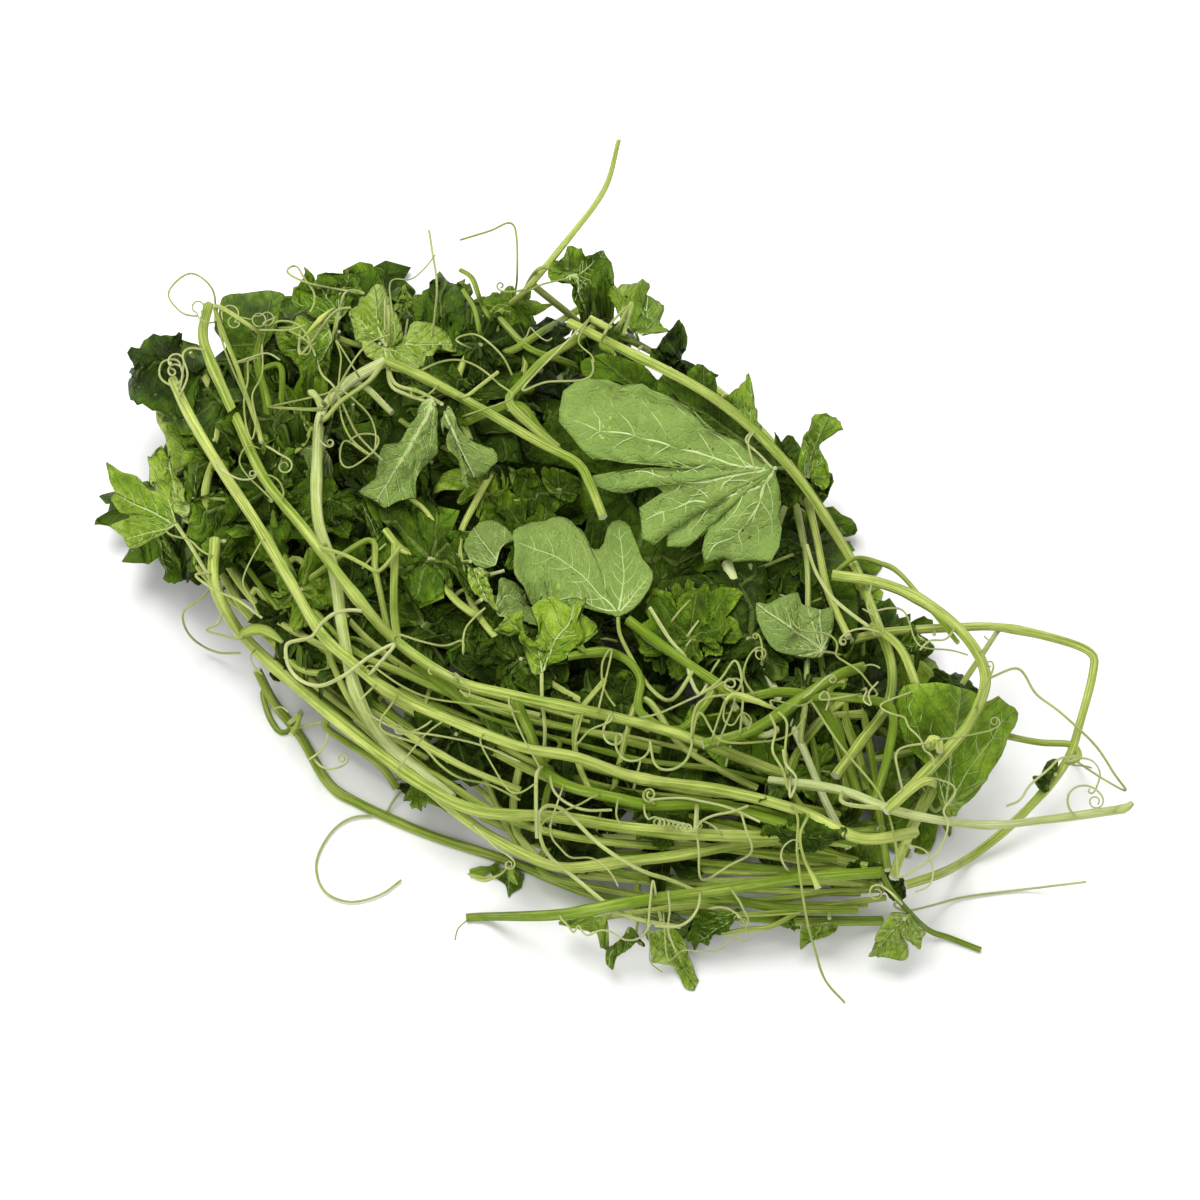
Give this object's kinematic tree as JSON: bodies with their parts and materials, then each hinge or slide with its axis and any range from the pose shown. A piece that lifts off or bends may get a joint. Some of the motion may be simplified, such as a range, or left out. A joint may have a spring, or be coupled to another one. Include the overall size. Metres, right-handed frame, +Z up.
{
  "type": "bunch of bitter melon leaves",
  "caption": "Loose tangled bunch of cut bitter melon vine tips, with wilted lobed leaves, ribbed stems, curling tendrils and small buds, lying on a surface.",
  "frame": {"origin": "centre of the bottom of the bounding box, on the surface that the bunch lies on", "axes": "+X along the bunch's longest extent, to the right of the picture; +Y away from the picture's viewer; +Z up"},
  "size_m": [0.362, 0.3234, 0.1188],
  "materials": {
    "stem_green": "satin fresh green stem",
    "pale_stem": "satin pale green stem",
    "leaf_green": "matt wilted leaf",
    "dark_leaf": "matt dark leaf"
  },
  "bodies": {
    "root": {"inner_shoot_1": "dark_leaf", "inner_shoot_2": "dark_leaf", "inner_shoot_3": "dark_leaf", "inner_shoot_4": "dark_leaf", "back_shoot_1": "dark_leaf", "back_shoot_2": "dark_leaf", "back_shoot_3": "dark_leaf", "outer_front_vine": "stem_green", "low_shaded_vine": "stem_green", "middle_shaded_vine": "stem_green", "bottom_leaf_vine": "stem_green", "end_leaf_vine": "stem_green", "inner_right_vine": "stem_green", "far_right_vine": "stem_green", "left_edge_vine": "dark_leaf", "top_left_vine": "leaf_green", "left_inner_vine": "leaf_green", "dark_middle_vine": "dark_leaf", "pale_stub_vine": "pale_stem", "top_spike_vine": "stem_green", "top_right_vine": "dark_leaf", "middle_leaf_vine": "leaf_green", "right_arch_vine": "leaf_green", "pale_upright_vine": "pale_stem", "centre_diagonal_vine": "stem_green", "right_leaf_vine": "stem_green", "right_loop_vine": "stem_green", "low_front_vine": "stem_green", "front_left_vine": "stem_green", "centre_vine": "stem_green", "left_outer_vine": "stem_green", "left_second_vine": "stem_green", "crossing_vine": "stem_green", "long_cut_end_vine": "pale_stem", "bottom_stub_vine": "stem_green"}
  },
  "joints": []
}
